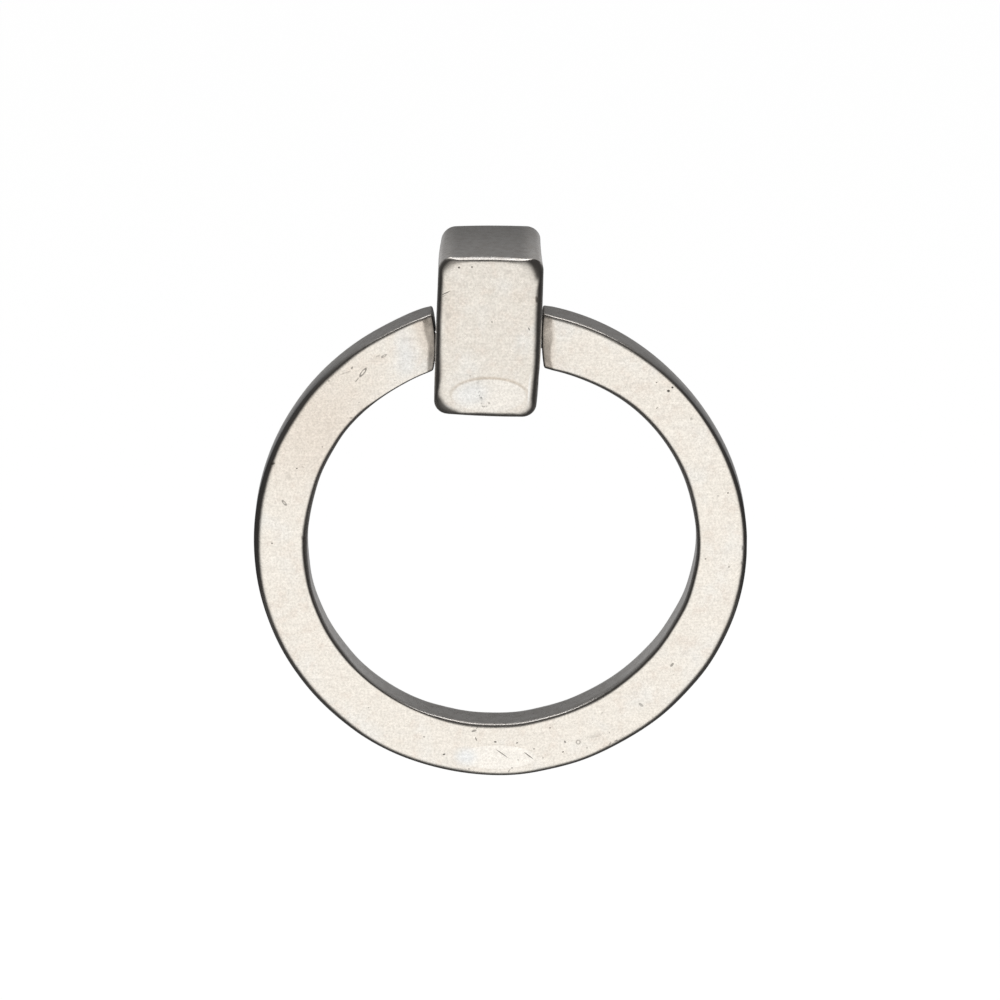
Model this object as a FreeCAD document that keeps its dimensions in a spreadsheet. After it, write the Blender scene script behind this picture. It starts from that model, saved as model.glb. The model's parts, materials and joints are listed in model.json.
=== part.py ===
import FreeCAD, Part
import math
import os
import Sketcher

# Ring pull for a drawer or cabinet door: a mounting block that stands on the drawer front,
# and an open ring that swings on a pin through the block.
#
# Frame: +Z is up, the drawer front is the plane y = 0 and the pull stands out towards -Y.
# The origin is the mouth of the screw hole in the block's back face. All sizes are in mm.

SIZES = [
    ("block_width", 16.0, "mounting block, side to side over its crowned sides"),
    ("block_height", 24.9, "mounting block, base to top over its crowned ends"),
    ("block_depth", 19.0, "mounting block, drawer front to front face"),
    ("block_crown", 0.2, "bulge of each side of the block's outline"),
    ("block_corner", 2.0, "radius of the block's four long corners"),
    ("block_rim", 1.1, "rounding of the block's front rim"),
    ("screw_drill", 3.45, "tapping drill of the screw hole, for an 8-32 thread"),
    ("screw_depth", 12.7, "straight depth of the screw hole"),
    ("screw_above_pin", 5.5, "screw hole axis above the pin axis"),
    ("pin_above_base", 9.4, "pin axis above the block's lower end"),
    ("pin_diameter", 3.2, "pivot pin"),
    ("pin_edge", 0.3, "chamfer on each end of the pin"),
    ("pin_seat", 4.5, "depth of the blind hole in each end of the ring"),
    ("pin_float", 0.3, "free space past each end of the pin"),
    ("running_clearance", 0.05, "radial clearance of the ring on the pin"),
    ("ring_diameter", 76.0, "ring, outside"),
    ("ring_width", 8.6, "width of the ring's face at its top and bottom"),
    ("ring_thickness", 6.8, "ring, front to back"),
    ("ring_rim", 0.9, "rounding of the ring's edges"),
    ("opening_oval", 1.4, "how much wider than tall the ring's opening is, as it was cast"),
    ("ring_set_over", 1.7, "ring centre to the right of the block, as it was cast"),
    ("pin_dip", 1.4, "pin axis below the middle of the ring's width at its top"),
    ("end_gap", 0.3, "gap between each end of the ring and the block"),
    ("end_radius", 17.0, "radius of the domed ends of the ring"),
    ("end_bevel", 1.2, "bevel on the front and back edge of each ring end"),
]
DRILL_POINT_ANGLE = 118
NEAR = 1e-4

doc = FreeCAD.newDocument("ring_pull")


# Sizes sheet

def make_sheet():
    sheet = doc.addObject("Spreadsheet::Sheet", "sizes")
    for row, (alias, value, note) in enumerate(SIZES, start=1):
        sheet.set(f"A{row}", note)
        sheet.set(f"B{row}", str(value))
        sheet.setAlias(f"B{row}", alias)
    doc.recompute()
    return sheet


sheet = make_sheet()


def size(alias):
    return float(sheet.get(alias))


# Lengths that several sketches share, as formulas on the sheet
BASE_BELOW_SCREW = "(sizes.pin_above_base + sizes.screw_above_pin)"
END_REACH = "(sizes.block_width / 2 + sizes.end_gap)"
RING_DROP = "(sizes.ring_diameter / 2 - sizes.ring_width / 2 - sizes.pin_dip)"
OPENING_HEIGHT = "(sizes.ring_diameter - 2 * sizes.ring_width)"


# Helpers for bodies, sketches and features

def new_body(label):
    body = doc.addObject("PartDesign::Body", label)
    body.Label = label
    return body


def hang_on_pin(body):
    """Put a body whose own origin is the middle of the pin at the pin's place in the block."""
    body.setExpression("Placement.Base.y", "-sizes.block_depth / 2")
    body.setExpression("Placement.Base.z", "-sizes.screw_above_pin")


def new_sketch(body, role, name):
    sketch = body.newObject("Sketcher::SketchObject", name)
    plane = next(f for f in body.Origin.OriginFeatures if f.Role == role)
    sketch.AttachmentSupport = [(plane, "")]
    sketch.MapMode = "FlatFace"
    return sketch


def dimension(sketch, name, formula, *constraint):
    """Add a driving dimension to a sketch and bind it to the sheet."""
    index = sketch.addConstraint(Sketcher.Constraint(*constraint))
    sketch.renameConstraint(index, name)
    sketch.setExpression(f"Constraints.{name}", formula)


def circle_on_origin(sketch, name, formula, start_radius):
    centre = FreeCAD.Vector(0, 0, 0)
    circle = sketch.addGeometry(Part.Circle(centre, FreeCAD.Vector(0, 0, 1), start_radius))
    sketch.addConstraint(Sketcher.Constraint("Coincident", circle, 3, -1, 1))
    dimension(sketch, name, formula, "Radius", circle, start_radius)
    return circle


def pad(body, sketch, name, formula, symmetric):
    feature = body.newObject("PartDesign::Pad", name)
    feature.Profile = sketch
    if symmetric:
        feature.SideType = "Symmetric"
    feature.setExpression("Length", formula)
    doc.recompute()
    return feature


def must_remove(before, after):
    if after.Shape.Volume > before.Shape.Volume - NEAR:
        raise RuntimeError(f"{after.Name} removes nothing")


def cut_both_ways(body, sketch, name, formula):
    """Pocket a sketch by a length that is split evenly to both sides of its plane."""
    before = body.Tip
    feature = body.newObject("PartDesign::Pocket", name)
    feature.Profile = sketch
    feature.SideType = "Symmetric"
    feature.setExpression("Length", formula)
    doc.recompute()
    must_remove(before, feature)
    return feature


def dress(body, kind, name, wanted, formula):
    """Fillet or chamfer every edge of the body for which wanted(edge) is true."""
    before = body.Tip
    names = [f"Edge{i}" for i, edge in enumerate(before.Shape.Edges, start=1) if wanted(edge)]
    feature = body.newObject(f"PartDesign::{kind}", name)
    feature.Base = (before, names)
    feature.setExpression("Radius" if kind == "Fillet" else "Size", formula)
    doc.recompute()
    must_remove(before, feature)
    return feature


def points_of(edge):
    first, last = edge.ParameterRange
    return [edge.valueAt(p) for p in (first, (first + last) / 2, last)]


def at_depth(edge, y):
    return all(abs(p.y - y) < NEAR for p in points_of(edge))


def runs_front_to_back(edge):
    first, _, last = points_of(edge)
    return abs(abs(last.y - first.y) - size("block_depth")) < NEAR


# Mounting block

def crowned_outline(sketch):
    """Four shallow arcs from corner to corner, each bulging by the crown."""
    half_width = size("block_width") / 2
    crown = size("block_crown")
    low = -size("pin_above_base") - size("screw_above_pin")
    high = low + size("block_height")
    left, right = -half_width + crown, half_width - crown
    corners = [(left, low + crown), (right, low + crown), (right, high - crown), (left, high - crown)]
    middles = [(0, low), (half_width, (low + high) / 2), (0, high), (-half_width, (low + high) / 2)]
    for i, middle in enumerate(middles):
        ends = corners[i], corners[(i + 1) % 4]
        points = [FreeCAD.Vector(x, z, 0) for x, z in (ends[0], middle, ends[1])]
        sketch.addGeometry(Part.Arc(*points))
    bottom, right_side, top, left_side = range(4)
    start, end = 1, 2
    for i in range(4):
        sketch.addConstraint(Sketcher.Constraint("Coincident", i, end, (i + 1) % 4, start))
    sketch.addConstraint(Sketcher.Constraint("Symmetric", bottom, start, bottom, end, -2))
    sketch.addConstraint(Sketcher.Constraint("Symmetric", top, start, top, end, -2))
    across = "(sizes.block_width - 2 * sizes.block_crown)"
    upright = "(sizes.block_height - 2 * sizes.block_crown)"
    across_now, upright_now = right - left, high - low - 2 * crown
    dimension(sketch, "width_low", across, "DistanceX", bottom, start, bottom, end, across_now)
    dimension(sketch, "width_high", across, "DistanceX", top, end, top, start, across_now)
    dimension(sketch, "height", upright, "DistanceY", right_side, start, right_side, end, upright_now)
    dimension(sketch, "base", f"{BASE_BELOW_SCREW} - sizes.block_crown",
              "DistanceY", bottom, start, -1, 1, -low - crown)
    for arc, chord, name in ((bottom, across, "arc_low"), (right_side, upright, "arc_right"),
                             (top, across, "arc_high"), (left_side, upright, "arc_left")):
        radius = f"({chord}^2 / 4 + sizes.block_crown^2) / (2 * sizes.block_crown)"
        dimension(sketch, name, radius, "Radius", arc, sketch.Geometry[arc].Radius)


def cross_bore(body):
    """Press-fit bore for the pin, from side to side at half the block's depth."""
    sketch = new_sketch(body, "YZ_Plane", "cross_bore_sketch")
    centre = FreeCAD.Vector(-size("block_depth") / 2, -size("screw_above_pin"), 0)
    circle = sketch.addGeometry(Part.Circle(centre, FreeCAD.Vector(0, 0, 1), size("pin_diameter") / 2))
    dimension(sketch, "depth", "sizes.block_depth / 2", "DistanceX", circle, 3, -1, 1, -centre.x)
    dimension(sketch, "height", "sizes.screw_above_pin", "DistanceY", circle, 3, -1, 1, -centre.y)
    dimension(sketch, "radius", "sizes.pin_diameter / 2", "Radius", circle, size("pin_diameter") / 2)
    cut_both_ways(body, sketch, "cross_bore", "sizes.block_width + 2 * sizes.end_gap")


def screw_hole(body):
    """Blind tapped hole in the back face, with the drill's point at its end."""
    before = body.Tip
    sketch = new_sketch(body, "XZ_Plane", "screw_hole_sketch")
    circle_on_origin(sketch, "radius", "sizes.screw_drill / 2", size("screw_drill") / 2)
    doc.recompute()
    hole = body.newObject("PartDesign::Hole", "screw_hole")
    hole.Profile = sketch
    hole.Reversed = True
    hole.ThreadType = "None"
    hole.setExpression("Diameter", "sizes.screw_drill")
    hole.DepthType = "Dimension"
    hole.setExpression("Depth", "sizes.screw_depth")
    hole.DrillPoint = "Angled"
    hole.DrillPointAngle = DRILL_POINT_ANGLE
    doc.recompute()
    must_remove(before, hole)


def make_block():
    body = new_body("mounting_block")
    outline = new_sketch(body, "XZ_Plane", "block_outline")
    crowned_outline(outline)
    pad(body, outline, "block_casting", "sizes.block_depth", symmetric=False)
    dress(body, "Fillet", "long_corners", runs_front_to_back, "sizes.block_corner")
    dress(body, "Fillet", "front_rim", lambda e: at_depth(e, -size("block_depth")), "sizes.block_rim")
    cross_bore(body)
    screw_hole(body)
    return body


# Ring, drawn about the middle of the pin

def ring_centre():
    drop = (size("ring_diameter") - size("ring_width")) / 2 - size("pin_dip")
    return FreeCAD.Vector(size("ring_set_over"), -drop, 0)


def centre_on_ring(sketch, curve):
    centre = ring_centre()
    dimension(sketch, "set_over", "sizes.ring_set_over", "DistanceX", -1, 1, curve, 3, centre.x)
    dimension(sketch, "drop", RING_DROP, "DistanceY", curve, 3, -1, 1, -centre.y)


def ring_disc(body):
    sketch = new_sketch(body, "XZ_Plane", "ring_outside")
    radius = size("ring_diameter") / 2
    circle = sketch.addGeometry(Part.Circle(ring_centre(), FreeCAD.Vector(0, 0, 1), radius))
    centre_on_ring(sketch, circle)
    dimension(sketch, "radius", "sizes.ring_diameter / 2", "Radius", circle, radius)
    pad(body, sketch, "ring_disc", "sizes.ring_thickness", symmetric=True)


def ring_opening(body):
    """Oval opening, a little wider than it is tall, about the ring's centre."""
    sketch = new_sketch(body, "XZ_Plane", "ring_opening_sketch")
    tall = size("ring_diameter") - 2 * size("ring_width")
    wide = tall + size("opening_oval")
    centre = ring_centre()
    side, top = FreeCAD.Vector(wide / 2, 0, 0), FreeCAD.Vector(0, tall / 2, 0)
    oval = sketch.addGeometry(Part.Ellipse(centre + side, centre + top, centre))
    sketch.exposeInternalGeometry(oval)
    long_axis, short_axis = oval + 1, oval + 2
    sketch.addConstraint(Sketcher.Constraint("Horizontal", long_axis))
    centre_on_ring(sketch, oval)
    dimension(sketch, "width", f"{OPENING_HEIGHT} + sizes.opening_oval", "Distance", long_axis, wide)
    dimension(sketch, "height", OPENING_HEIGHT, "Distance", short_axis, tall)
    cut_both_ways(body, sketch, "ring_opening", "2 * sizes.ring_thickness")


def ring_gap(body):
    """Gap at the top for the block, between two ends that are domed towards it."""
    sketch = new_sketch(body, "XZ_Plane", "ring_gap_sketch")
    dome = size("end_radius")
    reach = size("block_width") / 2 + size("end_gap")
    tall = size("ring_width")
    lean = math.asin(tall / dome)
    corner = reach + dome - dome * math.cos(lean)
    axis = FreeCAD.Vector(0, 0, 1)
    right_circle = Part.Circle(FreeCAD.Vector(reach + dome, 0, 0), axis, dome)
    left_circle = Part.Circle(FreeCAD.Vector(-reach - dome, 0, 0), axis, dome)
    high_left, high_right = FreeCAD.Vector(-corner, tall, 0), FreeCAD.Vector(corner, tall, 0)
    low_left, low_right = FreeCAD.Vector(-corner, -tall, 0), FreeCAD.Vector(corner, -tall, 0)
    right = sketch.addGeometry(Part.ArcOfCircle(right_circle, math.pi - lean, math.pi + lean))
    left = sketch.addGeometry(Part.ArcOfCircle(left_circle, -lean, lean))
    high = sketch.addGeometry(Part.LineSegment(high_left, high_right))
    low = sketch.addGeometry(Part.LineSegment(low_right, low_left))
    for pair in ((left, 2, high, 1), (high, 2, right, 1), (right, 2, low, 1), (low, 2, left, 1)):
        sketch.addConstraint(Sketcher.Constraint("Coincident", *pair))
    sketch.addConstraint(Sketcher.Constraint("Horizontal", high))
    sketch.addConstraint(Sketcher.Constraint("Horizontal", low))
    sketch.addConstraint(Sketcher.Constraint("PointOnObject", right, 3, -1))
    sketch.addConstraint(Sketcher.Constraint("Symmetric", left, 3, right, 3, -1, 1))
    sketch.addConstraint(Sketcher.Constraint("Equal", left, right))
    dimension(sketch, "dome", "sizes.end_radius", "Radius", right, dome)
    dimension(sketch, "reach", f"{END_REACH} + sizes.end_radius", "DistanceX", -1, 1, right, 3, reach + dome)
    dimension(sketch, "above", "sizes.ring_width", "DistanceY", -1, 1, right, 1, tall)
    dimension(sketch, "below", "sizes.ring_width", "DistanceY", right, 2, -1, 1, tall)
    cut_both_ways(body, sketch, "ring_gap", "2 * sizes.ring_thickness")


def is_circle(edge, radius):
    return isinstance(edge.Curve, Part.Circle) and abs(edge.Curve.Radius - radius) < NEAR


def on_a_face(edge):
    half = size("ring_thickness") / 2
    return at_depth(edge, half) or at_depth(edge, -half)


def is_end_edge(edge):
    return on_a_face(edge) and is_circle(edge, size("end_radius"))


def is_long_edge(edge):
    outer = is_circle(edge, size("ring_diameter") / 2)
    return on_a_face(edge) and (outer or isinstance(edge.Curve, Part.Ellipse))


def pin_seats(body):
    """Blind hole in each end of the ring, one cut through the gap into both."""
    sketch = new_sketch(body, "YZ_Plane", "pin_seats_sketch")
    bore = size("pin_diameter") / 2 + size("running_clearance")
    circle_on_origin(sketch, "radius", "sizes.pin_diameter / 2 + sizes.running_clearance", bore)
    cut_both_ways(body, sketch, "pin_seats", f"2 * ({END_REACH} + sizes.pin_seat)")


def make_ring():
    body = new_body("ring")
    ring_disc(body)
    ring_opening(body)
    ring_gap(body)
    dress(body, "Chamfer", "end_bevels", is_end_edge, "sizes.end_bevel")
    dress(body, "Fillet", "ring_rims", is_long_edge, "sizes.ring_rim")
    pin_seats(body)
    hang_on_pin(body)
    return body


# Pivot pin, drawn about its own middle

def make_pin():
    body = new_body("pivot_pin")
    sketch = new_sketch(body, "YZ_Plane", "pin_section")
    circle_on_origin(sketch, "radius", "sizes.pin_diameter / 2", size("pin_diameter") / 2)
    pad(body, sketch, "pin_rod", f"2 * ({END_REACH} + sizes.pin_seat - sizes.pin_float)", symmetric=True)
    dress(body, "Chamfer", "pin_ends", lambda e: is_circle(e, size("pin_diameter") / 2), "sizes.pin_edge")
    hang_on_pin(body)
    return body


def check(parts):
    for item in doc.Objects:
        if "Invalid" in item.State or "Error" in item.State:
            raise RuntimeError(f"{item.Name} is {item.State}")
    for part in parts:
        if part.Shape.isNull() or not part.Shape.isValid() or len(part.Shape.Solids) != 1:
            raise RuntimeError(f"{part.Label} is not one valid solid")


def write(parts):
    os.makedirs("parts", exist_ok=True)
    for part in parts:
        part.Shape.exportStep(f"parts/{part.Label}.step")
        box = part.Shape.optimalBoundingBox()
        across = f"x {box.XMin:.2f} to {box.XMax:.2f}"
        deep = f"y {box.YMin:.2f} to {box.YMax:.2f}"
        tall = f"z {box.ZMin:.2f} to {box.ZMax:.2f}"
        print(f"{part.Label}: {part.Shape.Volume:.1f} mm3, {across}, {deep}, {tall}")


parts = [make_block(), make_ring(), make_pin()]
doc.recompute()
check(parts)
write(parts)
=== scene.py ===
import bisect
import json
import math
from collections import namedtuple

import bmesh
import bpy
import numpy as np
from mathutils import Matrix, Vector


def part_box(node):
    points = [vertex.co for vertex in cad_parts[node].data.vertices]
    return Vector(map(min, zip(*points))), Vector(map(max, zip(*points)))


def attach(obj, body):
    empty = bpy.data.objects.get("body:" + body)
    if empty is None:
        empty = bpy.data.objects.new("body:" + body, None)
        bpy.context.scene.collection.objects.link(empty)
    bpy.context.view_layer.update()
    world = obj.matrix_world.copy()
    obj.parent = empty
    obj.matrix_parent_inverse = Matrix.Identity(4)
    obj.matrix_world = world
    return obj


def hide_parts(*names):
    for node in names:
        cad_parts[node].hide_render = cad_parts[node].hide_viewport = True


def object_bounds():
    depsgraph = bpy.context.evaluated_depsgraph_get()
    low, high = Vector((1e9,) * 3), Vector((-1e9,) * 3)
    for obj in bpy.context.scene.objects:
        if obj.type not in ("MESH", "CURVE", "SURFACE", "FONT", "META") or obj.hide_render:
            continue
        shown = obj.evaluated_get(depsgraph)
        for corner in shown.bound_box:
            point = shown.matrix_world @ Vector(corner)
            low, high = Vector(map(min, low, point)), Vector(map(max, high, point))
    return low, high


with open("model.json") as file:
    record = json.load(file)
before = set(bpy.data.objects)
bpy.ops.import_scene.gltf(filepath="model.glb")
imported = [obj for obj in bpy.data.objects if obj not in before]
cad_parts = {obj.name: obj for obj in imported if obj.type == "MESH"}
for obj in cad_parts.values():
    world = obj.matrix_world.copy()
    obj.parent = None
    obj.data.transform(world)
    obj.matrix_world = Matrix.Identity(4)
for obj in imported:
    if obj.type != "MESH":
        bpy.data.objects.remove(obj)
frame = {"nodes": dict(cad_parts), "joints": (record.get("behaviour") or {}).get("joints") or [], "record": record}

# Looks of a ring pull: a cast block and a cast ring of white bronze, pale on their faces, with
# painted shade on their sides and rims. Lengths are in mm until a mesh or a lamp is made.

MM = 0.001
CAD_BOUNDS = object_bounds()


# Driving dimensions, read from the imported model

def box_mm(node):
    low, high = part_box(node)
    return np.array(low) / MM, np.array(high) / MM


BLOCK_LOW, BLOCK_HIGH = box_mm("mounting_block")
RING_LOW, RING_HIGH = box_mm("ring")
PIN_LOW, PIN_HIGH = box_mm("pivot_pin")
SCREW_HOLE = frame["record"]["mounts"][0]["dims"]
PIN_AXIS = np.array(frame["joints"][0]["pos_m"]) / MM

BLOCK_DEPTH = BLOCK_HIGH[1] - BLOCK_LOW[1]
BLOCK_HALF = (BLOCK_HIGH - BLOCK_LOW) / 2
BLOCK_MIDDLE = (BLOCK_HIGH + BLOCK_LOW) / 2
RING_RADIUS = (RING_HIGH[0] - RING_LOW[0]) / 2
RING_X = (RING_HIGH[0] + RING_LOW[0]) / 2
RING_Z = RING_LOW[2] + RING_RADIUS
RING_HALF_THICK = (RING_HIGH[1] - RING_LOW[1]) / 2
PIN_RADIUS = (PIN_HIGH[2] - PIN_LOW[2]) / 2

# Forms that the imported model's boxes don't give
SKIN = 0.02
BLOCK_CORNER_FRONT = 2.1
BLOCK_CORNER_BACK = {"left": 2.6, "right": 2.3}
BLOCK_CORNER_GROWTH = (6.4, 2.2, 4.4, 2.4)
BLOCK_CROWN = 0.1
BLOCK_FRONT_RIM = 1.4
BLOCK_TOP_RIM = 0.74
BLOCK_RIGHT_RIM = 1.8
BLOCK_FOOT_RIM = 1.9
BLOCK_RIM_DEPTH = 0.75
BLOCK_TOP_RIM_DEPTH = 1.0
BEVEL_SLOPE = math.radians(56)
BEVEL_ROUNDING = 0.75
BLOCK_BACK_RIM = 0.15
BLOCK_TWIST = math.radians(2.6)
BLOCK_TWIST_Z = -2.1
BLOCK_TOP_DRAFT = 0.32
BLOCK_SIDE_DRAFT = {"left": 0.55, "right": 0.0}
BLOCK_SIDE_SWELL = {"left": 0.05, "right": 0.0}
BLOCK_FRONT_SWELL = {"left": 0.12, "right": 0.0}
BLOCK_FOOT_SWELL = {"left": 0.02, "right": -0.20}
BLOCK_FOOT = 0.45
RING_OPENING_HALF_WIDE = 30.1
RING_OPENING_HALF_TALL = 29.4
RING_BACK_INSET = 0.3
RING_BACK_RIM = 1.4
RING_END_RIM = 0.25
RING_END_REACH = {"left": 8.09, "right": 8.02}
RING_END_DOME = {"left": 20.0, "right": 30.0}
RING_END_PEAK = {"left": PIN_AXIS[2] - 0.3, "right": PIN_AXIS[2] + 0.8}
# Each facet's width and depth, and how much wider it is for each mm up
RING_END_FACETS = {"left": (1.35, 0.32, 0.09), "right": (1.5, 0.40, 0.02)}
PIN_SEAT_RADIUS = PIN_RADIUS + 0.05
PIN_SEAT_REACH = 12.8
THREAD_MAJOR_RADIUS = 2.08
THREAD_PITCH = 0.794


# Camera, placed where the photograph was taken from

PHOTO_SIDE = 1000
FOCAL_PIXELS = 6428
SENSOR = 36.0
CAMERA_DISTANCE = 1000.0
CAMERA_ELEVATION = math.radians(18.2)
CAMERA_TARGET = np.array([1.685, 0.0, -34.71])
LOOK = np.array([0.0, math.cos(CAMERA_ELEVATION), -math.sin(CAMERA_ELEVATION)])
UP = np.array([0.0, math.sin(CAMERA_ELEVATION), math.cos(CAMERA_ELEVATION)])
CAMERA_PLACE = CAMERA_TARGET - CAMERA_DISTANCE * LOOK


def make_camera():
    data = bpy.data.cameras.new("camera")
    data.sensor_width = SENSOR
    data.lens = SENSOR * FOCAL_PIXELS / PHOTO_SIDE
    data.clip_end = 20.0
    camera = bpy.data.objects.new("camera", data)
    camera.location = CAMERA_PLACE * MM
    camera.rotation_euler = Vector(LOOK).to_track_quat("-Z", "Y").to_euler()
    bpy.context.scene.collection.objects.link(camera)
    bpy.context.scene.camera = camera


def photo_point(px, py, y):
    """The point of the plane at depth y that the photograph shows at pixel px, py."""
    right = (px - PHOTO_SIDE / 2) / FOCAL_PIXELS
    down = (py - PHOTO_SIDE / 2) / FOCAL_PIXELS
    ray = LOOK - down * UP + np.array([right, 0.0, 0.0])
    return CAMERA_PLACE + ray * (y - CAMERA_PLACE[1]) / ray[1]


# Smooth noise for hand-finished forms, the same on every run

WAVES = 8


def wobble(points, wavelength, seed):
    """Smooth noise of about -1 to 1 at points, whose last axis is x, y, z."""
    rng = np.random.default_rng(seed)
    waves = rng.normal(size=(WAVES, 3))
    waves *= math.tau / wavelength / np.linalg.norm(waves, axis=1, keepdims=True)
    phases = rng.uniform(0, math.tau, WAVES)
    return np.sin(points @ waves.T + phases).sum(axis=-1) / 4


def smooth_step(low, high, value):
    t = np.clip((value - low) / (high - low), 0, 1)
    return t * t * (3 - 2 * t)


# Closed bars: a rounded rectangle swept along, with a grid of quads over each end

Walk = namedtuple("Walk", "cells_a cells_b side turn")


def walk_round(flat_a, flat_b, corner):
    """One walk round a rounded rectangle, in quads of flat_a and flat_b along its sides and
    of corner round each of its four corners. side holds each point's place on the straight
    sides, from -1 to 1, and turn the direction that its surface faces."""
    half_corner = corner // 2
    side, turn = [], []
    starts = [(-1, -1), (1, -1), (1, 1), (-1, 1)]
    for k, start in enumerate(starts):
        end = starts[(k + 1) % 4]
        flat = (flat_a, flat_b)[k % 2]
        facing = math.pi / 2 * (k - 1)
        for i in range(flat + corner):
            along = min(max(i - half_corner, 0), flat) / flat
            past = i - half_corner - min(max(i - half_corner, 0), flat)
            angle = facing + math.pi / 2 * past / corner
            side.append([s + (e - s) * along for s, e in zip(start, end)])
            turn.append([math.cos(angle), math.sin(angle)])
    return Walk(flat_a + corner, flat_b + corner, np.array(side), np.array(turn))


def corner_radii(walk, low_low, high_low, high_high, low_high):
    """A corner radius for each point of the walk, from those of the four corners."""
    u, v = (walk.side.T + 1) / 2
    return ((1 - u) * (1 - v) * low_low + u * (1 - v) * high_low
            + u * v * high_high + (1 - u) * v * low_high)


def border_of_grid(walk):
    """Row and column in an end's grid for each point of the walk."""
    a, b = walk.cells_a, walk.cells_b
    return ([(i, 0) for i in range(a)] + [(a, i) for i in range(b)]
            + [(a - i, b) for i in range(a)] + [(0, b - i) for i in range(b)])


def fill_end(walk, values):
    """Spread the values on an end's border smoothly over its whole grid."""
    a, b = walk.cells_a, walk.cells_b
    grid = np.zeros((a + 1, b + 1, values.shape[-1]))
    for (i, j), value in zip(border_of_grid(walk), values):
        grid[i, j] = value
    u = np.linspace(0, 1, a + 1)[:, None, None]
    v = np.linspace(0, 1, b + 1)[None, :, None]
    low, high, left, right = grid[:, :1], grid[:, -1:], grid[:1], grid[-1:]
    corners = ((1 - u) * (1 - v) * grid[0, 0] + u * (1 - v) * grid[-1, 0]
               + (1 - u) * v * grid[0, -1] + u * v * grid[-1, -1])
    return (1 - v) * low + v * high + (1 - u) * left + u * right - corners


def bar_faces(walk, stations):
    """Quads of the swept side, then of both ends, whose inner points follow the side's."""
    count = len(walk.side)
    i, j = np.meshgrid(np.arange(stations - 1), np.arange(count), indexing="ij")
    ahead = (j + 1) % count
    here, there = i * count, (i + 1) * count
    faces = [np.stack([here + j, here + ahead, there + ahead, there + j], -1).reshape(-1, 4)]
    inner = (walk.cells_a - 1) * (walk.cells_b - 1)
    for end, ring in enumerate((0, stations - 1)):
        index = np.zeros((walk.cells_a + 1, walk.cells_b + 1), int)
        for j_border, place in enumerate(border_of_grid(walk)):
            index[place] = ring * count + j_border
        first = stations * count + end * inner
        index[1:-1, 1:-1] = first + np.arange(inner).reshape(walk.cells_a - 1, -1)
        quads = np.stack([index[:-1, :-1], index[1:, :-1], index[1:, 1:], index[:-1, 1:]], -1)
        quads = quads.reshape(-1, 4)
        faces.append(quads if end else quads[:, ::-1])
    return np.concatenate(faces)


def stations_along(count, rim_cells):
    """Share of the way along, and how far round the rim of either end, for each station."""
    quarter = np.linspace(0, 1, rim_cells + 1)[:-1] * math.pi / 2
    share = np.concatenate([quarter * 0, np.linspace(0, 1, count), quarter * 0 + 1])
    first = np.concatenate([quarter, np.full(count + rim_cells, math.pi / 2)])
    last = np.concatenate([np.full(count + rim_cells, math.pi / 2), quarter[::-1]])
    return share[:, None], first[:, None], last[:, None]


def rim_shape(turned, bevel):
    """How far a rim has come in from the side, and how far it is short of the end, both as
    shares of its size, where its surface has turned this far from the end towards the side.
    A rim is round, or as far as it is bevelled, straight first and then round."""
    slope = np.minimum(turned, BEVEL_SLOPE)
    straight = 1 - BEVEL_ROUNDING * math.sin(BEVEL_SLOPE)
    left = np.clip((turned - BEVEL_SLOPE) / (math.pi / 2 - BEVEL_SLOPE), 0, 1)
    inwards = straight * (1 - left) + BEVEL_ROUNDING * (math.sin(BEVEL_SLOPE) - np.sin(slope))
    short = BEVEL_ROUNDING * (1 - np.cos(slope)) + straight * math.tan(BEVEL_SLOPE) * left
    return (bevel * inwards + (1 - bevel) * (1 - np.sin(turned)),
            bevel * short + (1 - bevel) * (1 - np.cos(turned)))


def sweep(walk, share, first, last, rims, section, place, corner_growth=0.0, rim_depth=1.0,
          bevel=0.0):
    """Points of a bar. section(walk, share) gives the half sizes, corner radii and bulge of
    the outline at each station, and place(a, b, share, gaps) puts its points in space. Round
    the last rim, the corner radii grow by corner_growth, rim_depth is how long the rim is
    along the bar for what it takes off its side, and bevel is how far it is bevelled."""
    first_rim, last_rim = rims
    inwards, short = rim_shape(last, bevel)
    inset = first_rim * (1 - np.sin(first)) + last_rim * inwards
    gap_first = first_rim * (1 - np.cos(first))
    gap_last = last_rim * rim_depth * short
    half_a, half_b, corner, bulge = section(walk, share)
    corner = corner + corner_growth * (1 - np.sin(last)) ** 0.75
    across = walk.turn * (1 - walk.side[:, ::-1] ** 2)
    a = walk.side[:, 0] * (half_a - corner) + walk.turn[:, 0] * (corner - inset)
    b = walk.side[:, 1] * (half_b - corner) + walk.turn[:, 1] * (corner - inset)
    a = a + (across[:, 0] - walk.turn[:, 0]) * bulge
    b = b + (across[:, 1] - walk.turn[:, 1]) * bulge
    spread = [np.broadcast_to(x, a.shape) for x in (a, b, share, gap_first, gap_last)]
    side = np.stack(spread, -1)
    ends = [fill_end(walk, side[k])[1:-1, 1:-1].reshape(-1, 5) for k in (0, -1)]
    every = np.concatenate([side.reshape(-1, 5), *ends])
    return place(every[:, 0], every[:, 1], every[:, 2], every[:, 3:])


def turn_outwards(mesh):
    work = bmesh.new()
    work.from_mesh(mesh)
    bmesh.ops.recalc_face_normals(work, faces=work.faces)
    work.to_mesh(mesh)
    work.free()


def mesh_object(name, points, faces):
    mesh = bpy.data.meshes.new(name)
    mesh.from_pydata((points * MM).tolist(), [], faces.tolist())
    turn_outwards(mesh)
    piece = bpy.data.objects.new(name, mesh)
    bpy.context.scene.collection.objects.link(piece)
    return piece


# Marks on the faces, placed where the photograph shows them

Mark = namedtuple("Mark", "px py long wide angle dark depth hollow", defaults=[0.0])

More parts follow.
